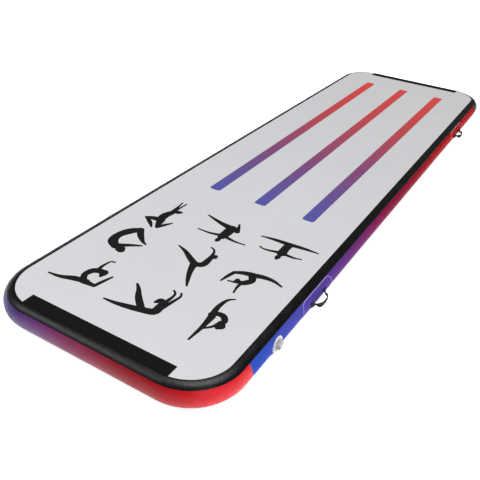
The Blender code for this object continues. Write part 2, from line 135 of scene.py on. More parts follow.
def make_camera():
    azimuth, elevation, roll = [radians(turn) for turn in CAMERA_TURNS]
    level = Vector((-sin(azimuth), cos(azimuth), 0))
    forward = level * cos(elevation) - Vector((0, 0, sin(elevation)))
    right = forward.cross(Vector((0, 0, 1))).normalized()
    up = right.cross(forward)
    across = right * cos(roll) + up * sin(roll)
    upward = up * cos(roll) - right * sin(roll)
    data = bpy.data.cameras.new("camera")
    data.lens = CAMERA_LENS
    data.sensor_width = CAMERA_SENSOR
    data.clip_start = 0.05
    data.clip_end = 200
    camera = new_object("camera", data)
    turn = Matrix((across, upward, -forward)).transposed().to_4x4()
    camera.matrix_world = Matrix.Translation(CAMERA_PLACE) @ turn
    bpy.context.scene.camera = camera


WORLD_STRENGTH = 0.12
SUN_STRENGTH = 2.55
SUN_SPREAD = 40
SUN_FROM = (0.06, 0.16, 0.985)
SOFTBOXES = (  # name, place, aimed at, size, power
    ("softbox_left", (-3.6, -3.4, 4.6), (0.0, -1.2, 0.0), 3.0, 120),
    ("softbox_right", (2.6, -2.9, 1.3), (0.4, -1.5, 0.1), 1.4, 20),
)
FLOOR_HALF = 40
FLOOR_Z = -0.0006
FLOOR_GLOW = 0.8


def turned_from(direction):
    """A turn that makes a light shine from the given direction."""
    return Vector(direction).to_track_quat("Z", "Y").to_matrix().to_4x4()


def make_light():
    scene = bpy.context.scene
    scene.view_settings.view_transform = "Standard"
    world = bpy.data.worlds.new("studio")
    world.use_nodes = True
    back = world.node_tree.nodes["Background"]
    back.inputs["Color"].default_value = (1, 1, 1, 1)
    back.inputs["Strength"].default_value = WORLD_STRENGTH
    scene.world = world
    overhead = bpy.data.lights.new("overhead", "SUN")
    overhead.energy = SUN_STRENGTH
    overhead.angle = radians(SUN_SPREAD)
    new_object("overhead", overhead).matrix_world = turned_from(SUN_FROM)
    for name, place, aim, size, power in SOFTBOXES:
        softbox = bpy.data.lights.new(name, "AREA")
        softbox.size = size
        softbox.energy = power
        turn = turned_from(Vector(place) - Vector(aim))
        new_object(name, softbox).matrix_world = Matrix.Translation(place) @ turn


def make_floor():
    finish = Finish("floor_paint", Roughness=0.7, Specular_IOR_Level=0.1, Emission_Strength=FLOOR_GLOW)
    finish.shader.inputs["Emission Color"].default_value = (1, 1, 1, 1)
    finish.tones(finish.noise(0.6, detail=1), (0.9, 0.9, 0.9), (0.93, 0.93, 0.93), 0, 1)
    mesh = bpy.data.meshes.new("floor")
    corners = [(x * FLOOR_HALF, y * FLOOR_HALF, FLOOR_Z) for x, y in CORNER_STARTS]
    mesh.from_pydata(corners, [], [(0, 1, 2, 3)])
    mesh.materials.append(finish.material)
    new_object("floor", mesh)


# Materials

class Finish:
    """A node material round one Principled shader, with sizes in metres."""

    def __init__(self, name, **sockets):
        self.material = bpy.data.materials.new(name)
        self.material.use_nodes = True
        self.tree = self.material.node_tree
        self.shader = self.tree.nodes["Principled BSDF"]
        self.place = self.tree.nodes.new("ShaderNodeTexCoord").outputs["Object"]
        self.height = None
        for socket, value in sockets.items():
            self.shader.inputs[socket.replace("_", " ")].default_value = value

    def node(self, kind, inputs=(), **settings):
        made = self.tree.nodes.new(kind)
        for key, value in settings.items():
            setattr(made, key, value)
        for socket, value in dict(inputs).items():
            if isinstance(value, bpy.types.NodeSocket):
                self.tree.links.new(value, made.inputs[socket])
            else:
                made.inputs[socket].default_value = value
        return made

    def math(self, operation, first, second=0.0, third=0.0):
        return self.node("ShaderNodeMath", {0: first, 1: second, 2: third}, operation=operation).outputs[0]

    def axis(self, letter):
        return self.node("ShaderNodeSeparateXYZ", {0: self.place}).outputs[letter]

    def noise(self, scale, detail=2.0, rough=0.5, place=None):
        inputs = {"Vector": place or self.place, "Scale": scale, "Detail": detail, "Roughness": rough}
        return self.node("ShaderNodeTexNoise", inputs).outputs["Fac"]

    def stretched(self, x, y, z):
        return self.node("ShaderNodeMapping", {"Vector": self.place, "Scale": (x, y, z)}).outputs[0]

    def wave(self, pitch, direction, place=None):
        """Ridges across X, Y or Z, one each `pitch` metres."""
        inputs = {"Vector": place or self.place, "Scale": tau / (20 * pitch)}
        return self.node("ShaderNodeTexWave", inputs, bands_direction=direction).outputs["Fac"]

    def ramp(self, value, stops):
        made = self.node("ShaderNodeValToRGB", {0: value})
        elements = made.color_ramp.elements
        while len(elements) < len(stops):
            elements.new(0.5)
        for element, (position, colour) in zip(elements, stops):
            element.position = position
            element.color = colour
        return made.outputs["Color"]

    def between(self, value, low, high, start=0.0, end=1.0):
        inputs = {"Value": value, "From Min": low, "From Max": high, "To Min": start, "To Max": end}
        return self.node("ShaderNodeMapRange", inputs).outputs[0]

    def multiply(self, share, first, second):
        inputs = {0: share, 6: first, 7: second}
        return self.node("ShaderNodeMix", inputs, data_type="RGBA", blend_type="MULTIPLY").outputs[2]

    def colour(self, socket):
        self.tree.links.new(socket, self.shader.inputs["Base Color"])

    def tones(self, value, dark, light, start=0.3, end=0.7):
        """Colours the surface from dark to light as a value rises."""
        self.colour(self.ramp(value, ((start, (*dark, 1)), (end, (*light, 1)))))

    def roughness(self, value, low, high):
        self.tree.links.new(self.between(value, 0.3, 0.7, low, high), self.shader.inputs["Roughness"])

    def bump(self, height, depth, strength=1.0):
        """Adds a relief of `depth` metres, on top of any that is there."""
        inputs = {"Height": height, "Distance": depth, "Strength": strength}
        if self.height:
            inputs["Normal"] = self.height
        self.height = self.node("ShaderNodeBump", inputs).outputs[0]
        self.tree.links.new(self.height, self.shader.inputs["Normal"])


def coated_fabric(finish, pitch=0.0012, depth=0.00003):
    """The faint weave of the base cloth that shows through a coat of vinyl."""
    warp, weft, rise = [finish.wave(pitch, letter) for letter in "XYZ"]
    finish.bump(finish.math("ADD", finish.math("ADD", warp, weft), rise), depth)


def deck_finish(name, light, dark):
    finish = Finish(name, Roughness=0.5, Specular_IOR_Level=0.25)
    broad = finish.noise(1.1, detail=3)
    fine = finish.noise(420)
    tone = finish.math("MULTIPLY_ADD", fine, 0.35, finish.math("MULTIPLY", broad, 0.65))
    finish.tones(tone, dark, light)
    finish.roughness(finish.noise(9, detail=3), 0.46, 0.58)
    coated_fabric(finish)
    tufts = finish.node("ShaderNodeTexVoronoi", {"Vector": finish.place, "Scale": 95}, feature="SMOOTH_F1")
    finish.bump(tufts.outputs["Distance"], 0.00006)
    finish.bump(finish.noise(3.5), 0.0004, 0.6)
    return finish.material


PRINT_WANDER = 0.03


def gradient_finish(name, letter, low, high, stops, roughness=0.42, gloss=0.008, ink=False):
    """A vinyl whose colour runs along one axis, from `low` to `high`: its print, and in the end walls' stops
    painted light and shade too.
    """
    finish = Finish(name, Roughness=roughness, Specular_IOR_Level=gloss)
    share = finish.between(finish.axis(letter), low, high)
    level = finish.math("SUBTRACT", share, PRINT_WANDER / 2)
    worn = finish.math("MULTIPLY_ADD", finish.noise(5, detail=3), PRINT_WANDER, level)
    spots = ((0.3, (0.9, 0.9, 0.9, 1)), (0.7, (1.06, 1.06, 1.06, 1)))
    mottle = finish.ramp(finish.noise(60, detail=4), spots)
    finish.colour(finish.multiply(0.8, finish.ramp(worn, stops), mottle))
    finish.roughness(finish.noise(14, detail=4), roughness - 0.06, roughness + 0.08)
    coated_fabric(finish, 0.0011, 0.00002 if ink else 0.00003)
    if not ink:
        finish.bump(finish.noise(22), 0.0006, 0.35)
    return finish.material


def plain_finish(name, colour, roughness, variation=0.12, grain=160, depth=0.00005, **sockets):
    """A plain material with slight changes of tone and a fine surface."""
    finish = Finish(name, Roughness=roughness, **sockets)
    dark = [part * (1 - variation) for part in colour[:3]]
    light = [min(part * (1 + variation), 1) for part in colour[:3]]
    finish.tones(finish.noise(grain / 4, detail=4), dark, light)
    finish.roughness(finish.noise(grain / 6, detail=3), roughness - 0.05, roughness + 0.07)
    finish.bump(finish.noise(grain * 8), depth)
    return finish.material


def tape_finish():
    finish = Finish("tape_vinyl", Roughness=0.25, Specular_IOR_Level=0.24)
    finish.tones(finish.noise(35, detail=4), (0.0026, 0.0026, 0.0028), (0.0052, 0.0052, 0.0056))
    finish.roughness(finish.noise(18, detail=4), 0.2, 0.32)
    coated_fabric(finish, 0.0011, 0.00004)
    finish.bump(finish.noise(16), 0.0009, 0.35)
    return finish.material


def pile_finish():
    finish = Finish("hook_and_loop_pile", Roughness=0.95, Specular_IOR_Level=0.12)
    clumps = finish.noise(900, detail=3, rough=0.7)
    # Lighter on the raised clumps and darker between them: painted sheen and painted shade that follow the
    # pile's relief.
    finish.tones(clumps, (0.0025, 0.0025, 0.0028), (0.0085, 0.0085, 0.0092), 0.35, 0.75)
    finish.bump(clumps, 0.0006)
    finish.bump(finish.noise(140, detail=3), 0.0007, 0.7)
    return finish.material


def webbing_finish():
    """Ribbed black webbing, laid out by the strap's UV map."""
    finish = Finish("black_webbing", Roughness=0.72, Specular_IOR_Level=0.3)
    along = finish.node("ShaderNodeUVMap", uv_map="strap").outputs[0]
    ribs = finish.wave(0.0016, "X", along)
    cords = finish.wave(0.0024, "Y", along)
    weave = finish.math("MULTIPLY", ribs, cords)
    finish.tones(weave, (0.0035, 0.0035, 0.0038), (0.016, 0.016, 0.017), 0, 1)
    finish.roughness(finish.noise(700), 0.62, 0.82)
    finish.bump(weave, 0.00025)
    finish.bump(finish.noise(1500), 0.00008)
    return finish.material


def print_stops(low, high, colours):
    """Ramp stops from rows of place, red, green and blue."""
    return tuple(((place - low) / (high - low), srgb(*colour)) for place, *colour in colours)


# The printed colours along the right side, from the near lap to the far one
SIDE_COLOURS = (
    (-1.504, 46, 80, 182), (-1.25, 66, 74, 170), (-0.8, 94, 50, 132), (-0.6, 112, 42, 108),
    (-0.3, 132, 20, 72), (0.00, 136, 12, 48), (0.4, 156, 8, 26), (0.8, 172, 6, 10), (1.504, 166, 6, 12),
)

# The colours round the near end, from left to right: the print's gradient, darkened by painted shade at the
# left end and brightened by painted light at the right corner
END_COLOURS = (
    (-0.5, 38, 36, 98), (-0.34, 56, 38, 104), (-0.26, 80, 40, 106), (-0.18, 100, 42, 100),
    (-0.1, 114, 40, 84), (0.00, 124, 32, 64), (0.1, 130, 20, 40), (0.2, 134, 10, 24), (0.3, 146, 6, 18),
    (0.4, 180, 12, 24), (0.46, 206, 24, 36), (0.5, 216, 42, 52),
)

# The stripes' colours, from the near end to the far one
STRIPE_COLOURS = (
    (-0.607, 82, 84, 158), (-0.3, 102, 80, 136), (0.00, 126, 74, 114), (0.3, 152, 74, 98),
    (0.6, 174, 74, 84), (0.9, 192, 72, 74), (1.46, 208, 76, 74),
)


# Mesh helpers

def add_object(name, mesh, material, sharp=40):
    mesh.materials.append(material)
    mesh.shade_smooth()
    mesh.set_sharp_from_angle(angle=radians(sharp))
    return new_object(name, mesh)


def to_mesh(name, bm):
    bmesh.ops.recalc_face_normals(bm, faces=bm.faces)
    mesh = bpy.data.meshes.new(name)
    bm.to_mesh(mesh)
    bm.free()
    return mesh


def skin(name, rows, columns, both, loop=False, lids=False):
    """A closed thin sheet. `both` gives its front and back points at a row and a column.

    A loop joins the last row to the first. Lids fill the last column's ring on both faces.
    """
    bm = bmesh.new()
    pairs = [[both(row, column) for column in columns] for row in rows]
    front = [[bm.verts.new(pair[0]) for pair in row] for row in pairs]
    back = [[bm.verts.new(pair[1]) for pair in row] for row in pairs]
    last = len(front[0]) - 1
    for row in range(0 if loop else 1, len(front)):
        for here, there in ((front[row - 1], front[row]), (back[row - 1], back[row])):
            for column in range(last):
                bm.faces.new((here[column], there[column], there[column + 1], here[column + 1]))
        for column in (0,) if lids else (0, last):
            ring = front[row - 1][column], front[row][column], back[row][column], back[row - 1][column]
            bm.faces.new(ring)
    if lids:
        bm.faces.new([row[-1] for row in front])
        bm.faces.new([row[-1] for row in back])
    if not loop:
        for over, under in ((front[0], back[0]), (front[-1], back[-1])):
            for column in range(last):
                bm.faces.new((over[column], over[column + 1], under[column + 1], under[column]))
    return to_mesh(name, bm)


def applied(obj):
    """Makes a piece's modifiers part of its mesh."""
    bpy.context.view_layer.update()
    graph = bpy.context.evaluated_depsgraph_get()
    mesh = bpy.data.meshes.new_from_object(obj.evaluated_get(graph))
    obj.modifiers.clear()
    obj.data = mesh


def tube_mesh(name, sections, closed=False):
    """Joins closed sections, with end faces unless the tube closes on itself."""
    bm = bmesh.new()
    rows = [[bm.verts.new(point) for point in section] for section in sections]
    pairs = list(zip(rows, rows[1:]))
    if closed:
        pairs.append((rows[-1], rows[0]))
    for here, there in pairs:
        for number in range(len(here)):
            after = (number + 1) % len(here)
            bm.faces.new((here[number], there[number], there[after], here[after]))
    if not closed:
        bm.faces.new(rows[0])
        bm.faces.new(rows[-1])
    return to_mesh(name, bm)


# The outline and the rounded edge

def corner_station(side_x, side_y, angle):
    def at(offset):
        radius = DECK_CORNER + CORNER_GROWTH * offset
        centre_x = DECK_HALF_WIDTH + offset - radius
        centre_y = DECK_HALF_LENGTH + END_GROWTH * offset - radius
        return side_x * centre_x + radius * cos(angle), side_y * centre_y + radius * sin(angle)

    return at


def side_station(side_x, y):
    return lambda offset: (side_x * (DECK_HALF_WIDTH + offset), y)


def end_station(side_y, x):
    return lambda offset: (x, side_y * (DECK_HALF_LENGTH + END_GROWTH * offset))


CORNER_STARTS = {(1, 1): 0, (-1, 1): 90, (-1, -1): 180, (1, -1): 270}


def corner_stations(side_x, side_y, steps):
    """Stations round one corner, counterclockwise seen from above."""
    start = CORNER_STARTS[side_x, side_y]
    return [corner_station(side_x, side_y, radians(turn)) for turn in steps_between(start, start + 90, steps)]


def spread(start, end, step):
    """Even places about a step apart, without the start and the end."""
    count = max(int(abs(end - start) / step), 1)
    return [start + (end - start) * number / count for number in range(1, count)]


END_STRAIGHT = 0.2893
SIDE_STRAIGHT = 1.5395
CORNER_CENTRE_X = 0.29
CORNER_CENTRE_Y = 1.54


def outline_stations(step, corner_steps):
    """The whole outline, counterclockwise from the far right corner."""
    stations = []
    for side_x, side_y in CORNER_STARTS:
        stations += corner_stations(side_x, side_y, corner_steps)
        straight = END_STRAIGHT if side_x == side_y else SIDE_STRAIGHT
        for place in spread(straight, -straight, step):
            if side_x == side_y:
                stations.append(end_station(side_y, side_y * place))
            else:
                stations.append(side_station(side_x, -side_x * place))
    return stations


def flat_share(y, height):
    """How flat the valve draws the wall: 1 under the flange, 0 away from it."""
    across = hypot(y - VALVE_Y, height)
    round_valve = 1 - (across - VALVE_FLAT_RADIUS) / (VALVE_BLEND_RADIUS - VALVE_FLAT_RADIUS)
    below_tape = (VALVE_BLEND_TOP - abs(height)) / (VALVE_BLEND_TOP - VALVE_FLAT_TOP)
    return smooth_step(round_valve) * smooth_step(below_tape)


def edge_point(station, radius, angle):
    """A point of the rounded edge, at a radius and an angle above the horizontal, in degrees."""
    offset = radius * cos(radians(angle))
    height = radius * sin(radians(angle))
    x, y = station(offset)
    if x > 0 and abs(y - VALVE_Y) < VALVE_BLEND_RADIUS:
        inset = EDGE_RADIUS - radius
        x += flat_share(y, height) * (VALVE_FLAT - inset - offset)
    return Vector((x, y, MID + height))


def corner_turn(x, y):
    """A place's angle about the centre of the corner near it."""
    return atan2(abs(y) - CORNER_CENTRE_Y, abs(x) - CORNER_CENTRE_X)


def corner_share(x, y):
    """1 round the corners of the outline, 0 along its straight sides."""
    return smooth_step((abs(x) - 0.24) / 0.08) * smooth_step((abs(y) - 1.49) / 0.08)


# Decks, walls and tapes

def deck(name, node, side, material):
    """A flat deck with a lip that turns over the edge. `side` is 1 for the top, -1 for the bottom."""
    columns = [(angle, 0) for angle in steps_between(DECK_EDGE, 90, 6)]
    columns += [(90, inset) for inset in (0.002, 0.01, 0.04)]

    def both(at, column):
        angle, inset = column
        points = []
        for radius in (EDGE_RADIUS, EDGE_RADIUS - DECK_SHEET):
            offset = -inset if inset else radius * cos(radians(angle))
            points.append(Vector((*at(offset), MID + side * radius * sin(radians(angle)))))
        return points

    mesh = skin(name, outline_stations(0.05, 24), columns, both, loop=True, lids=True)
    obj = add_object(name, mesh, material)
    take_place(obj, "deck_pvc" if side > 0 else "base_pvc", node)


WALL_STEPS = steps_between(-WALL_EDGE, WALL_EDGE, 28)


def wall_swell(x, y, angle):
    """Puckers at the corners' tapes, and a broad soft waviness."""
    towards_tape = smooth_step((abs(angle) - 12) / 36)
    pucker = sin(corner_turn(x, y) * 34 + noise.noise(Vector((x, y, 3.0)) * 6) * 2.5)
    broad = noise.noise(Vector((x * 7, y * 7, angle / 40)))
    swell = 0.00022 * pucker * corner_share(x, y) * towards_tape * smooth_step((54 - abs(angle)) / 8)
    return swell + 0.00018 * broad * smooth_step((50 - abs(angle)) / 12)


def wall(name, nodes, stations, material, is_end):
    """A printed wall band. The end bands lap over the side bands, which dip under them."""

    def both(at, angle):
        x, y = at(EDGE_RADIUS)
        swell = wall_swell(x, y, angle)
        if is_end:
            radius = EDGE_RADIUS + LAP_RISE * smooth_step(1 - (abs(y) - LAP_Y) / LAP_FADE)
        else:
            radius = EDGE_RADIUS - LAP_DIP * smooth_step((abs(y) - LAP_Y + LAP_FADE) / LAP_FADE)
            swell *= smooth_step((LAP_Y - 0.01 - abs(y)) / 0.03)
        radius += swell
        return edge_point(at, radius, angle), edge_point(at, radius - WALL_SHEET, angle)

    obj = add_object(name, skin(name, stations, WALL_STEPS, both), material)
    take_place(obj, "wall_pvc", *nodes)
    return obj


def side_wall(name, nodes, side_x, material):
    reach = LAP_Y + LAP_HIDDEN
    places = [-reach, *spread(-reach, reach, 0.0145), reach]
    if side_x > 0:
        places = sorted(p for p in places if abs(p - VALVE_Y) > 0.062)
        places = sorted(places + [VALVE_Y + step for step in steps_between(-0.06, 0.06, 40)])
    obj = wall(name, nodes, [side_station(side_x, y) for y in places], material, False)
    if side_x > 0:
        apply_boolean(obj, cylinder(VALVE_HOLE_RADIUS, -0.015, 0.015, steps=64))


def apply_boolean(obj, other, operation="DIFFERENCE", own=False):
    """Cuts or joins `other` for good and removes it."""
    modifier = obj.modifiers.new("cut", "BOOLEAN")
    modifier.operation = operation
    modifier.solver = "EXACT"
    modifier.use_self = own
    modifier.object = other
    applied(obj)
    bpy.data.objects.remove(other)


def end_wall(name, node, side_y, material):
    first = [side_station(side_y, side_y * y) for y in steps_between(LAP_Y, SIDE_STRAIGHT - 0.009, 3)]
    last = [side_station(-side_y, side_y * y) for y in steps_between(SIDE_STRAIGHT - 0.009, LAP_Y, 3)]
    middle = [end_station(side_y, side_y * x) for x in spread(END_STRAIGHT, -END_STRAIGHT, 0.0145)]
    start = corner_stations(side_y, side_y, 40)
    finish = corner_stations(-side_y, side_y, 40)
    stations = first + start + middle + finish + last
    wall(name, [node], stations, material, True)


def seam_tape(name, node, start, end, material):
    """A black tape, welded over the joint of deck and wall, all round the mat."""

    def both(at, angle):
        x, y = at(EDGE_RADIUS)
        from_edge = min(abs(angle - start), abs(angle - end))
        body = 0.45 + 0.55 * smooth_step(from_edge / 2.2)
        pucker = sin(corner_turn(x, y) * 52 + noise.noise(Vector((x, y, angle / 30)) * 5) * 2)
        ripple = 0.00009 * pucker * corner_share(x, y) * smooth_step((84 - abs(angle)) / 20)
        ripple += 0.00008 * noise.noise(Vector((x * 12, y * 12, angle / 14)))
        radius = EDGE_RADIUS + GAP + TAPE_SHEET * body + ripple
        return edge_point(at, radius, angle), edge_point(at, EDGE_RADIUS + GAP, angle)

    mesh = skin(name, outline_stations(0.016, 44), steps_between(start, end, 20), both, loop=True)
    obj = add_object(name, mesh, material, 60)
    take_place(obj, "tape_pvc", node)


# Connector strips

STRIP_LAP = 0.0012
STRIP_ROWS = 156
STRIP_COLUMNS = 18


def connector_strip(name, node, side_y, material):
    """A hook-and-loop strip with an uneven pile. Its outer edge laps over the seam tape."""
    low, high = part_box(node)
    inner_y = min(abs(low.y), abs(high.y))
    outer_y = DECK_HALF_LENGTH + STRIP_LAP
    half = high.x
    top = high.z - 0.0002
    base = THICKNESS + 0.0001

    def both(row, column):
        x = -half + 2 * half * row / STRIP_ROWS
        y = inner_y + (outer_y - inner_y) * column / STRIP_COLUMNS
        inset = min(half - abs(x), y - inner_y, outer_y - y)
        fall = 0.0006 * (1 - smooth_step(inset / 0.0012))
        pile = 0.00022 * noise.noise(Vector((x * 260, y * 260, 1.7)))
        pile += 0.00016 * noise.noise(Vector((x * 60, y * 60, 4.2)))
        lap = 0.0012 * smooth_step((y - outer_y + 0.0062) / 0.004)
        height = top + 0.6 * lap - fall + pile * smooth_step(inset / 0.002)
        return Vector((x, side_y * y, height)), Vector((x, side_y * y, base + lap))

    mesh = skin(name, range(STRIP_ROWS + 1), range(STRIP_COLUMNS + 1), both)
    obj = add_object(name, mesh, material, 50)
    take_place(obj, "hook_and_loop", node)


# The print on the deck

PRINT_LOW = THICKNESS + 0.00004
PRINT_HIGH = THICKNESS + 0.00018
PRINT_STEP = 0.000012
STRIPE_CENTRES = (-0.2425, 0.003, 0.2485)
STRIPE_HALF_WIDTH = 0.0285
STRIPE_START = -0.607
STRIPE_END = 1.46
STRIPE_CORNER = 0.014


def prism(bm, outline, low=PRINT_LOW, high=PRINT_HIGH):
    """A thin closed plate with the given outline."""
    bottom = [bm.verts.new((x, y, low)) for x, y in outline]
    top = [bm.verts.new((x, y, high)) for x, y in outline]
    bm.faces.new(top)
    bm.faces.new(bottom[::-1])
    for number in range(len(outline)):
        after = (number + 1) % len(outline)
        bm.faces.new((bottom[number], bottom[after], top[after], top[number]))


def stripe(name, centre, material):
    outline = []
    for (side_x, side_y), start in CORNER_STARTS.items():
        y = (STRIPE_END - STRIPE_CORNER) if side_y > 0 else (STRIPE_START + STRIPE_CORNER)
        x = centre + side_x * (STRIPE_HALF_WIDTH - STRIPE_CORNER)
        for turn in steps_between(start, start + 90, 8):
            angle = radians(turn)
            outline.append((x + STRIPE_CORNER * cos(angle), y + STRIPE_CORNER * sin(angle)))
    bm = bmesh.new()
    prism(bm, outline)
    take_place(add_object(name, to_mesh(name, bm), material, 20), "deck_pvc")


def curve_through(points, parts=6):
    """A smooth line through points of (x, y, width)."""
    if len(points) < 3:
        return list(zip(*(steps_between(start, end, parts) for start, end in zip(*points))))
    line = []
    for number in range(len(points) - 1):
        before = points[max(number - 1, 0)]
        start = points[number]
        end = points[number + 1]
        after = points[min(number + 2, len(points) - 1)]
        for part in range(parts):
            t = part / parts
            place = []
            for a, b, c, d in zip(before, start, end, after):
                curve = (2 * a - 5 * b + 4 * c - d) * t**2 + (3 * b - a - 3 * c + d) * t**3
                place.append(0.5 * (2 * b + (c - a) * t + curve))
            line.append(place)
    line.append(points[-1])
    return line


LIMB_WEIGHT = 1.2
LIMB_THINNEST = 0.85


def limb_outline(stroke):
    """The outline of a limb: a tapered stroke with round ends."""
    points = [stroke[number : number + 3] for number in range(0, len(stroke), 3)]
    line = []
    for x, y, width in curve_through(points):
        line.append((x / 100, y / 100, max(width * LIMB_WEIGHT, LIMB_THINNEST) / 100))
    left = []
    right = []
    for number, (x, y, width) in enumerate(line):
        ahead = line[min(number + 1, len(line) - 1)]
        behind = line[max(number - 1, 0)]
        run = Vector((ahead[0] - behind[0], ahead[1] - behind[1])).normalized()
        aside = Vector((-run.y, run.x)) * (width / 2)
        left.append((x + aside.x, y + aside.y))
        right.append((x - aside.x, y - aside.y))
    caps = []
    for index in (-1, 0):
        x, y, width = line[index]
        other = line[index - 1 if index else 1]
        run = Vector((x - other[0], y - other[1])).normalized()
        cap = []
        for step in range(1, 6):
            angle = pi / 2 - pi * step / 6
            along = run * cos(angle) + Vector((-run.y, run.x)) * sin(angle)
            cap.append((x + along.x * width / 2, y + along.y * width / 2))
        caps.append(cap)
    return left + caps[0] + right[::-1] + caps[1]


# Nine tumblers of the same simple build. A stroke is x, y, width, x, y, width, ... in centimetres
FIGURES = (
    (  # kneeling with both arms up
        (-27.5, -98.5, 3, -28, -94, 3.4, -27, -90, 2.6, -27.2, -88, 1.6),
        (-27.4, -89, 1.6, -27.8, -85, 1, -28.4, -80.5, 0.5),
        (-27, -89, 1.4, -26.6, -85, 0.9, -26.2, -80.5, 0.5),
        (-26.5, -89.5, 1.2, -25, -88.5, 2.4, -24, -88, 1.6),
        (-27.5, -98, 3, -31, -98.8, 2.4, -33.5, -99.8, 1.5),
        (-33, -100, 1.4, -29.5, -102.5, 1.6, -26.8, -105, 0.6),
        (-27, -98, 3, -25.8, -101.5, 2.3, -24.8, -103.8, 1.5),
        (-24.6, -103.6, 1.4, -23.2, -100.5, 1.5, -21.5, -97.6, 0.7),
    ),
    (  # a bridge, holding the ankles
        (-28.8, -109.5, 2.6, -31.8, -113, 3.6, -33.6, -118, 3.2, -32.6, -122.5, 3.6, -29, -125, 3),
        (-28, -125, 2, -26.2, -125.5, 3.6, -25.4, -126, 2.8),
        (-29, -109.5, 2.6, -26, -113, 2.4, -22.5, -116, 1.4, -20, -117.2, 0.6),
        (-28, -123.5, 2.2, -24.5, -121, 1.6, -20.8, -118.8, 0.8),
    ),
    (  # a split with the back leg bent up and the body arched
        (-22, -149, 2.2, -27, -150.2, 2.4, -32, -152.2, 1.5, -37, -152.8, 0.7),
        (-23, -149.5, 2.4, -20, -149.4, 1.9, -17.8, -149.4, 1.4),
        (-17.8, -149.4, 1.4, -17, -145.5, 1.3, -16, -141.6, 0.8),
        (-23.5, -149, 2.2, -25.4, -146, 2.2, -24.6, -142.6, 2.6, -22, -141.2, 2.4),
        (-21.6, -141.4, 2.2, -20.4, -141.4, 3, -20, -143.6, 1.2),
        (-23.4, -142, 1.6, -23.8, -138, 1.1, -23.2, -134.4, 0.7, -21.6, -133.8, 0.4),
    ),
    (  # a handstand with one leg out and one knee bent
        (1.5, -94, 3.2, 1.6, -90, 3.8, 1.4, -85.8, 3.6), (1.4, -86, 3.2, -5, -84.8, 1.9, -12.8, -82.4, 0.7),
        (2.2, -86, 3, 4.6, -87, 2), (4.8, -87, 1.8, 3.6, -84, 1.3, 2.4, -81.2, 0.6),
        (0.5, -93.2, 1.6, -4.5, -94.4, 1.1, -10, -94.4, 0.5),
        (2.5, -93.2, 1.6, 7.5, -94, 1.1, 12.4, -93.8, 0.5), (1.4, -95, 0.9, 1.4, -96.8, 2, 1.4, -98, 1.2),
    ),
    (  # standing on one leg, the other raised behind, an arm over the head
        (4, -117, 2.6, 0, -114.5, 2.2, -4.5, -111.6, 1.5, -8.8, -109.8, 0.6),
        (3.4, -116.6, 2.8, 5, -121.5, 2, 7.4, -126.5, 1.4, 9.4, -130, 0.6),
        (3.6, -117, 2.6, 6.4, -115.4, 2.6, 6.6, -111.5, 2.2, 6.2, -108, 1.5),
        (6.2, -109, 1.4, 5.4, -105.8, 0.9, 4.2, -104, 0.7, 2.6, -103.4, 0.4),
        (6.6, -109.2, 1.4, 7.2, -108.4, 2.6, 7.4, -107.8, 1.8),
    ),
    (  # a split with one leg raised and both arms up
        (7.5, -149.6, 2.4, 1, -151.2, 2.3, -5, -152.4, 1.5, -10, -152.8, 0.7),
        (4, -149.6, 2.4, -0.5, -145.4, 2.2, -3.6, -141.6, 1.4, -6, -139.4, 0.8),
        (5, -150, 2.4, 8.8, -148.6, 3, 9, -145, 2.8, 8.8, -142.6, 2.2),
        (8.4, -142.8, 1.6, 7.2, -142.6, 2.6, 6, -144, 1.2),
        (8.8, -143, 1.6, 9.2, -138.5, 1, 8.8, -136.2, 0.8, 7.4, -135, 0.4),
        (10, -145, 1.6, 11.2, -138.5, 1, 11.4, -136.4, 0.8, 10.6, -134.8, 0.4),
    ),
    (  # a straddle handstand
        (27.8, -90.4, 3.4, 27.5, -86.5, 3, 27.5, -83, 3.2),
        (28, -82.6, 2.2, 21, -82.8, 1.7, 14.8, -83.6, 0.6),
        (27, -82.6, 2.2, 33.5, -81.9, 1.7, 40, -81.7, 0.6),
        (27, -90.2, 1.6, 22.5, -91.4, 1.1, 20, -91.6, 0.8, 18.2, -91, 0.4),
        (28.6, -90.2, 1.6, 33, -90.4, 1.1, 36.2, -89.6, 0.5),
        (27.8, -91.4, 0.9, 27.8, -93.6, 2, 27.8, -95.2, 0.9),
    ),
    (  # balanced on the forearms, the legs bent over the back
        (25.6, -110.4, 2.6, 29.5, -109, 2.2, 34, -108.8, 1.5, 38.4, -110.2, 0.7),
        (26, -110, 2.6, 22.5, -110.8, 2.1, 19.2, -112.6, 1.5),
        (19.2, -112.6, 1.5, 18.4, -116, 1.3, 17.8, -119.8, 0.7),
        (26, -110.6, 2.6, 27.4, -113.4, 2.4, 25.8, -116.2, 2.4, 24.2, -117, 1.6),
        (24.6, -117, 1.4, 23.2, -116.6, 2.6, 22.8, -116, 1.6),
        (24.4, -117.2, 1.2, 22, -118, 0.9, 20, -118.4, 0.5),
        (25, -117, 1.3, 25, -120.2, 0.9, 25.6, -123.4, 0.5),
    ),
    (  # standing on one leg, holding the raised one behind the head
        (26.6, -139.6, 2.2, 25.6, -134, 1.7, 26.2, -128.8, 1.1, 28.2, -126.6, 0.5),
        (26.6, -139, 2.4, 27, -145.4, 1.5, 26.8, -153.2, 0.7),
        (25.8, -138.4, 1.9, 27.6, -136.9, 2, 29.9, -136.9, 2.1, 31.5, -138.6, 2, 31.6, -140.4, 1.6),
        (31.2, -140, 1.6, 31.8, -141.8, 3, 31.4, -143.2, 1.4),
        (30.8, -140, 1.3, 29.8, -143.4, 1, 27.4, -146.2, 0.7),
    ),
)


def figure(name, strokes, material):
    """One pictogram: its strokes joined into one thin plate."""
    first = bmesh.new()
    prism(first, limb_outline(strokes[0]))
    obj = add_object(name, to_mesh(name, first), material, 20)
    rest = bmesh.new()
    for number, stroke in enumerate(strokes[1:], 1):
        step = PRINT_STEP * number
        prism(rest, limb_outline(stroke), PRINT_LOW + step, PRINT_HIGH + step)
    apply_boolean(obj, new_object("strokes", to_mesh("strokes", rest)), "UNION", own=True)
    take_place(obj, "deck_pvc")


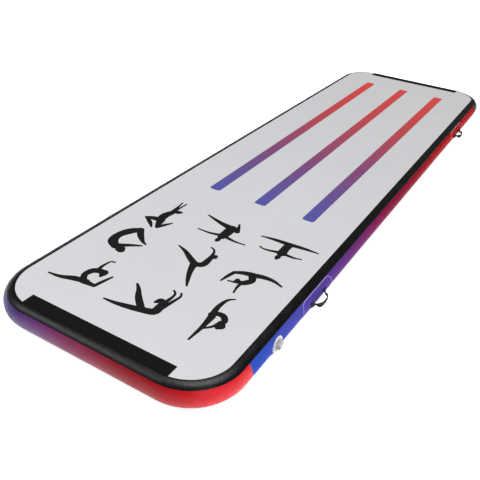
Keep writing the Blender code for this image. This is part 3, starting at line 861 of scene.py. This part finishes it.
def ink_finish():
    finish = Finish("black_ink", Roughness=0.5, Specular_IOR_Level=0.12)
    finish.tones(finish.noise(120, detail=4), (0.0045, 0.0045, 0.0048), (0.0085, 0.0085, 0.009))
    finish.roughness(finish.noise(25, detail=3), 0.46, 0.58)
    coated_fabric(finish)
    return finish.material


def print_on_deck():
    stops = print_stops(STRIPE_START, STRIPE_END, STRIPE_COLOURS)
    colours = gradient_finish("stripe_ink", "Y", STRIPE_START, STRIPE_END, stops, 0.5, ink=True)
    for name, centre in zip(("stripe_left", "stripe_middle", "stripe_right"), STRIPE_CENTRES):
        stripe(name, centre, colours)
    black = ink_finish()
    for number, strokes in enumerate(FIGURES, 1):
        figure(f"printed_figure_{number}", strokes, black)


# Handles

def on_wall(side_x, along_y, arc, out):
    """A point on a long side's wall: `arc` metres up round the edge from its crest, `out` metres off it."""
    angle = arc / EDGE_RADIUS
    radius = EDGE_RADIUS + out
    x = side_x * (DECK_HALF_WIDTH + radius * cos(angle))
    return Vector((x, along_y, MID + radius * sin(angle)))


def patch(place, side_x, centre_y, material, rim_highlight):
    name = f"handle_patch_{place}"
    straight = PATCH_HALF_HEIGHT - PATCH_CORNER

    def both(arc, share):
        into_corner = max(abs(arc) - straight, 0)
        half = PATCH_HALF_LENGTH - PATCH_CORNER + sqrt(max(PATCH_CORNER**2 - into_corner**2, 0))
        along = half * sin(share * pi / 2)
        y = centre_y + along
        inset = min(PATCH_HALF_HEIGHT - abs(arc), half - abs(along))
        body = 0.35 + 0.65 * smooth_step(inset / 0.0016)
        pad = 0.00012 * noise.noise(Vector((y * 30, arc * 60, 7.0))) * smooth_step(inset / 0.004)
        return on_wall(side_x, y, arc, GAP + PATCH_SHEET * body + pad), on_wall(side_x, y, arc, GAP)

    arcs = steps_between(-PATCH_HALF_HEIGHT, PATCH_HALF_HEIGHT, 30)
    obj = add_object(name + "_cover", skin(name, arcs, steps_between(-1, 1, 60), both), material)
    take_place(obj, "wall_pvc", name)
    line = patch_line(place, side_x, centre_y, rim_highlight)


LINE_HALF = 0.0009


def patch_line(place, side_x, centre_y, material):
    """The raised rim that frames a patch, its pale colour a painted highlight."""
    route = []
    for (sign_y, sign_arc), start in CORNER_STARTS.items():
        y = sign_y * (PATCH_HALF_LENGTH - PATCH_CORNER)
        arc = sign_arc * (PATCH_HALF_HEIGHT - PATCH_CORNER)
        for turn in steps_between(start, start + 90, 14):
            angle = radians(turn)
            route.append((y + PATCH_CORNER * cos(angle), arc + PATCH_CORNER * sin(angle)))
        for share in steps_between(0, 1, 24)[1:-1]:
            if sign_y * sign_arc > 0:
                route.append((y * (1 - 2 * share), sign_arc * PATCH_HALF_HEIGHT))
            else:
                route.append((sign_y * PATCH_HALF_LENGTH, arc * (1 - 2 * share)))
    sections = []
    for number, (y, arc) in enumerate(route):
        before = Vector(route[number - 1])
        after = Vector(route[(number + 1) % len(route)])
        run = (after - before).normalized()
        section = []
        for step in range(8):
            angle = tau * step / 8
            aside = LINE_HALF * cos(angle) - LINE_HALF * 0.4
            out = GAP + 0.0006 + 0.0006 * sin(angle)
            section.append(on_wall(side_x, centre_y + y + run.y * aside, arc - run.x * aside, out))
        sections.append(section)
    mesh = tube_mesh("patch_edge", sections, closed=True)
    obj = add_object(f"handle_patch_edge_{place}", mesh, material, 80)
    take_place(obj, "wall_pvc")
    return obj


STRAP_ROUTE = (  # along Y, out from the wall's crest, width, thickness, how far it hugs the wall
    (0.066, 0.0021, 0.025, 0.0016, 1.0), (0.063, 0.0021, 0.025, 0.0016, 1.0),
    (0.06, 0.0024, 0.025, 0.0017, 0.9), (0.057, 0.0038, 0.0248, 0.0018, 0.7),
    (0.0538, 0.0058, 0.0238, 0.002, 0.5), (0.0505, 0.0078, 0.0205, 0.0024, 0.3),
    (0.0475, 0.0093, 0.0145, 0.0029, 0.1), (0.045, 0.0101, 0.0098, 0.0034, 0.0),
    (0.043, 0.0104, 0.0074, 0.0036, 0.0),
)
LOOP_OUT = 0.01
BOW_HALF = 0.041
LOOP_REACH = 0.022
LOOP_DROOP_RIGHT = 12
LOOP_DROOP_LEFT = 22
LOOP_LEAN = 14
NECK_WIDTH = 0.0074
GRIP_WIDTH_RIGHT = 0.0225
GRIP_WIDTH_LEFT = 0.0168


def strap_places(grip_width):
    """The whole strap: (along, out, width, thickness, hug, in the loop's own plane or not)."""
    half = [(*place, 0.0) for place in STRAP_ROUTE]
    for turn in (82, 76, 68, 60, 52, 44, 36, 28, 21, 14, 7, 0):
        along = BOW_HALF * sin(radians(turn)) ** 0.62
        reach = LOOP_REACH * cos(radians(turn)) ** 0.9
        share = smooth_step(reach / (0.8 * LOOP_REACH))
        width = NECK_WIDTH + share * (grip_width - NECK_WIDTH)
        half.append((along, reach, width, 0.0034 + share * 0.0004, 0.0, 1.0))
    return half + [(-along, *rest) for along, *rest in reversed(half[:-1])]


def strap_section(centre, across, normal, width, thickness, bend):
    """A folded strap's section, rounded at its folds."""
    front = []
    back = []
    for share in steps_between(-1, 1, 8):
        reach = share * width / 2
        body = thickness / 2 * (1 - 0.75 * abs(share) ** 6)
        middle = centre + across * reach - normal * (bend * reach * reach / 2)
        front.append(middle + normal * body)
        back.append(middle - normal * body)
    return front + back[::-1]


def strap(place, side_x, centre_y, material):
    """The strap: flat in the patch at both ends, gathered to a neck, bowed out between."""
    crest = DECK_HALF_WIDTH + EDGE_RADIUS
    droop = radians(LOOP_DROOP_RIGHT if side_x > 0 else LOOP_DROOP_LEFT)
    grip_width = GRIP_WIDTH_RIGHT if side_x > 0 else GRIP_WIDTH_LEFT
    out = Vector((side_x * cos(droop), 0, -sin(droop)))
    up = Vector((side_x * sin(droop), 0, cos(droop)))
    neck = Vector((side_x * (crest + LOOP_OUT), centre_y, MID))
    centres = []
    for along, reach, width, thickness, hug, in_loop in strap_places(grip_width):
        if in_loop:
            centre = neck + Vector((0, along, 0)) + out * reach
        else:
            centre = Vector((side_x * (crest + reach), centre_y + along, MID))
        centres.append((centre, width, thickness, hug, in_loop))
    sections = []
    lengths = [0.0]
    for number, (centre, width, thickness, hug, in_loop) in enumerate(centres):
        before = centres[max(number - 1, 0)][0]
        after = centres[min(number + 1, len(centres) - 1)][0]
        if number:
            lengths.append(lengths[-1] + (centre - centres[number - 1][0]).length)
        run = (after - before).normalized()
        across = Vector((0, 0, 1)).lerp(up, in_loop)
        across = (across - run * across.dot(run)).normalized()
        normal = across.cross(run).normalized() * side_x
        opened = smooth_step((width - NECK_WIDTH) / (grip_width - NECK_WIDTH))
        lean = radians(LOOP_LEAN) * in_loop * opened
        leaning = across * cos(lean) - normal * sin(lean)
        normal = normal * cos(lean) + across * sin(lean)
        bend = hug / (EDGE_RADIUS + 0.002)
        sections.append(strap_section(centre, leaning, normal, width, thickness, bend))
    obj = add_object(f"handle_strap_{place}", tube_mesh("strap", sections), material, 70)
    add_strap_uv(obj, sections, lengths)
    subdivide(obj)
    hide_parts(f"strap_end_a_{place}", f"strap_end_b_{place}", f"handle_loop_{place}")
    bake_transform(obj)


def add_strap_uv(obj, sections, lengths):
    """U along the strap and V round it, in metres."""
    size = len(sections[0])
    middle = sections[len(sections) // 2]
    around = [0.0]
    for here, there in zip(middle, middle[1:]):
        around.append(around[-1] + (there - here).length)
    layer = obj.data.uv_layers.new(name="strap")
    for loop in obj.data.loops:
        row, column = divmod(loop.vertex_index, size)
        layer.data[loop.index].uv = (lengths[row], around[column])


def subdivide(obj):
    modifier = obj.modifiers.new("smooth", "SUBSURF")
    modifier.levels = 1
    modifier.render_levels = 1
    applied(obj)
    obj.data.shade_smooth()


def handles(wall_materials):
    # The pale colour of the patch rims is a painted highlight on their raised edge.
    line = plain_finish("patch_rim_painted_highlight", srgb(196, 186, 226), 0.4, 0.08, Specular_IOR_Level=0.3)
    webbing = webbing_finish()
    for place in PLACES:
        low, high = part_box(f"handle_patch_{place}")
        side_x = 1 if low.x > 0 else -1
        centre_y = (low.y + high.y) / 2
        patch(place, side_x, centre_y, wall_materials[side_x], line)
        strap(place, side_x, centre_y, webbing)


# The valve

FLANGE_RADIUS = 0.0318
FLANGE_FACE = GAP + 0.004
FLANGE_RIM = FLANGE_FACE + 0.0008
CAP_UNDER = FLANGE_FACE + GAP
CAP_TOP = CAP_UNDER + 0.003
SOCKET_RADIUS = 0.0165
BARREL_RADIUS = 0.02
WEB_TOP = -0.016
WEB_END = -0.018
BARREL_END = -0.032
WINDOW_RADIUS = 0.0042
WINDOW_OFF = 0.0105


def turned(name, profile, material, steps=96):
    """Turns a profile of (radius, out) points about the valve's axis, with `out` from the flat wall."""
    bm = bmesh.new()
    verts = [bm.verts.new((VALVE_SEAT_X + out, VALVE_Y + radius, MID)) for radius, out in profile]
    edges = [bm.edges.new(pair) for pair in zip(verts, verts[1:] + verts[:1])]
    centre = (VALVE_SEAT_X, VALVE_Y, MID)
    bmesh.ops.spin(bm, geom=verts + edges, axis=(1, 0, 0), cent=centre, steps=steps, angle=tau)
    bmesh.ops.remove_doubles(bm, verts=bm.verts, dist=1e-6)
    return add_object(name, to_mesh(name, bm), material, 32)


def rounded(points, radius, parts=4):
    """A closed profile with its corners cut by small arcs."""
    line = []
    for number, point in enumerate(points):
        here = Vector(point)
        before = Vector(points[number - 1])
        after = Vector(points[(number + 1) % len(points)])
        reach = min(radius, (before - here).length * 0.45, (after - here).length * 0.45)
        start = here + (before - here).normalized() * reach
        end = here + (after - here).normalized() * reach
        for part in range(parts + 1):
            t = part / parts
            line.append(tuple(start * (1 - t) ** 2 + here * (2 * t * (1 - t)) + end * t**2))
    return line


def cylinder(radius, start, end, y=0, z=0, steps=40):
    """A helper cylinder along the valve's axis, off it by y and z."""
    bm = bmesh.new()
    place = Matrix.Translation((VALVE_SEAT_X + (start + end) / 2, VALVE_Y + y, MID + z))
    place = place @ Matrix.Rotation(radians(90), 4, "Y")
    size = {"radius1": radius, "radius2": radius, "depth": end - start}
    bmesh.ops.create_cone(bm, cap_ends=True, segments=steps, matrix=place, **size)
    return new_object("helper", to_mesh("helper", bm))


def valve_flange(material):
    profile = (
        (BARREL_RADIUS, GAP), (FLANGE_RADIUS, GAP), (FLANGE_RADIUS, FLANGE_RIM), (0.0252, FLANGE_RIM),
        (0.0244, FLANGE_FACE), (SOCKET_RADIUS, FLANGE_FACE), (SOCKET_RADIUS, WEB_TOP), (0.0033, WEB_TOP),
        (0.0033, WEB_END), (SOCKET_RADIUS, WEB_END), (SOCKET_RADIUS, BARREL_END + 0.003),
        (0.0125, BARREL_END + 0.002), (0.0125, BARREL_END), (BARREL_RADIUS, BARREL_END),
    )
    obj = turned("valve_flange", rounded(profile, 0.0009), material)
    drill_four(obj, 45, WINDOW_OFF, WINDOW_RADIUS, WEB_END - 0.002, WEB_TOP + 0.002, 24)
    take_place(obj, "valve_plastic", "valve_body")


def drill_four(obj, first, off, radius, start, end, steps):
    """Cuts four holes round the valve's axis, the first at an angle in degrees."""
    for number in range(4):
        angle = radians(first + 90 * number)
        apply_boolean(obj, cylinder(radius, start, end, off * cos(angle), off * sin(angle), steps))
    obj.data.shade_smooth()
    obj.data.set_sharp_from_angle(angle=radians(28))


POCKET_RADIUS = 0.0046
POCKET_OFF = 0.016
GRIP_STEPS = 96


def grip_radius(angle):
    """The cap's four-lobed grip, seen along the valve's axis."""
    return 0.0132 + 0.0042 * cos(4 * (angle - pi / 4))


def cap_grip():
    """The grip, which narrows a little towards its domed top."""
    levels = (
        (-0.0008, 1.00), (0.0, 1.12), (0.0008, 1.04), (0.0018, 1.0), (0.005, 0.985), (0.0086, 0.97),
        (0.0108, 0.945), (0.012, 0.9), (0.0126, 0.82), (0.0128, 0.7),
    )
    sections = []
    for height, share in levels:
        section = []
        for step in range(GRIP_STEPS):
            angle = tau * step / GRIP_STEPS
            radius = grip_radius(angle) * share
            y = VALVE_Y + radius * cos(angle)
            z = MID + radius * sin(angle)
            section.append(Vector((VALVE_SEAT_X + CAP_TOP + height, y, z)))
        sections.append(section)
    return new_object("grip", tube_mesh("grip", sections))


def valve_cap(material):
    profile = (
        (0.012, CAP_UNDER), (0.012, -0.0015), (0.0156, -0.0015), (0.0156, CAP_UNDER - 0.0034),
        (0.0138, CAP_UNDER - 0.0034), (0.0138, CAP_UNDER - 0.0006), (0.0156, CAP_UNDER - 0.0006),
        (0.0156, CAP_UNDER), (0.0235, CAP_UNDER), (0.0235, CAP_TOP), (0.0205, CAP_TOP),
        (0.0198, CAP_TOP - 0.0009), (0.006, CAP_TOP - 0.0009), (0.006, CAP_UNDER),
    )
    cap = turned("valve_cap_lobed", rounded(profile, 0.0007, 3), material)
    apply_boolean(cap, cylinder(0.0064, CAP_UNDER + 0.0002, CAP_TOP - 0.0012), "UNION")
    apply_boolean(cap, cap_grip(), "UNION")
    drill_four(cap, 0, POCKET_OFF, POCKET_RADIUS, CAP_TOP - 0.0028, CAP_TOP + 0.002, 28)
    take_place(cap, "valve_plastic", "valve_cap", body="valve_cap")


def valve_finish(name, tone):
    return plain_finish(name, (tone, tone, tone * 1.02), 0.36, 0.05, 260, 0.00002, Specular_IOR_Level=0.4)


# The nodes that stay as they are

def dress_inner_nodes():
    yarn = Finish("polyester_yarn", Roughness=0.9)
    twist = yarn.noise(1.0, detail=3, place=yarn.stretched(900, 900, 180))
    yarn.tones(twist, (0.55, 0.55, 0.52), (0.82, 0.82, 0.79))
    yarn.bump(twist, 0.0005)
    scrim = Finish("inner_tape_vinyl", Roughness=0.6)
    scrim.tones(scrim.noise(40, detail=4), (0.4, 0.4, 0.41), (0.48, 0.48, 0.49))
    coated_fabric(scrim)
    rubber = plain_finish("black_rubber", (0.022, 0.022, 0.023), 0.72, 0.2, 300, 0.00006)
    moulded = plain_finish("valve_plastic_inner", (0.6, 0.6, 0.61), 0.45, 0.05, 260, 0.00003)
    steel = plain_finish("spring_wire", (0.62, 0.62, 0.64), 0.28, 0.08, 500, 0.00001, Metallic=1.0)
    materials = {
        "drop_stitch_core": yarn.material,
        "inner_wall_tape": scrim.material,
        "valve_gasket": rubber,
        "valve_diaphragm": rubber,
        "valve_cap_seal": rubber,
        "valve_base_nut": moulded,
        "valve_plunger": moulded,
        "valve_spring": steel,
    }
    for node, material in materials.items():
        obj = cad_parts[node]
        obj.data.materials.clear()
        obj.data.materials.append(material)


def mirrored(stops):
    """The same colours from the other end."""
    return tuple((1 - position, colour) for position, colour in reversed(stops))


END_GLOSS = 0.22


def main():
    make_camera()
    make_light()
    make_floor()
    deck_vinyl = deck_finish("deck_vinyl", (0.585, 0.59, 0.605), (0.56, 0.565, 0.58))
    base_vinyl = deck_finish("base_vinyl", (0.52, 0.52, 0.53), (0.48, 0.48, 0.49))
    deck("deck_top", "top_deck", 1, deck_vinyl)
    deck("deck_bottom", "bottom_deck", -1, base_vinyl)
    sides = print_stops(-LAP_Y, LAP_Y, SIDE_COLOURS)
    # The end walls' stops hold painted shade at the near end's left and painted light at its right corner;
    # the far end takes them mirrored.
    ends = print_stops(-0.5, 0.5, END_COLOURS)
    right = gradient_finish("wall_print_right", "Y", -LAP_Y, LAP_Y, sides)
    left = gradient_finish("wall_print_left", "Y", -LAP_Y, LAP_Y, mirrored(sides))
    near = gradient_finish("wall_print_painted_light_near", "X", -0.5, 0.5, ends, gloss=END_GLOSS)
    far = gradient_finish("wall_print_painted_light_far", "X", -0.5, 0.5, mirrored(ends), gloss=END_GLOSS)
    side_wall("wall_right", ["side_wall_right", "side_wall_right_end", "valve_wall_panel"], 1, right)
    side_wall("wall_left", ["side_wall_left"], -1, left)
    end_wall("wall_near", "end_wall_near", -1, near)
    end_wall("wall_far", "end_wall_far", 1, far)
    tape = tape_finish()
    seam_tape("tape_top", "top_seam_tape", TAPE_EDGE, 90, tape)
    seam_tape("tape_bottom", "bottom_seam_tape", -TAPE_EDGE, -BOTTOM_TAPE_EDGE, tape)
    pile = pile_finish()
    connector_strip("strip_near", "connector_strip_near", -1, pile)
    connector_strip("strip_far", "connector_strip_far", 1, pile)
    print_on_deck()
    handles({1: right, -1: left})
    valve_flange(valve_finish("valve_flange_plastic", 0.66))
    valve_cap(valve_finish("valve_cap_plastic", 0.44))
    dress_inner_nodes()


main()
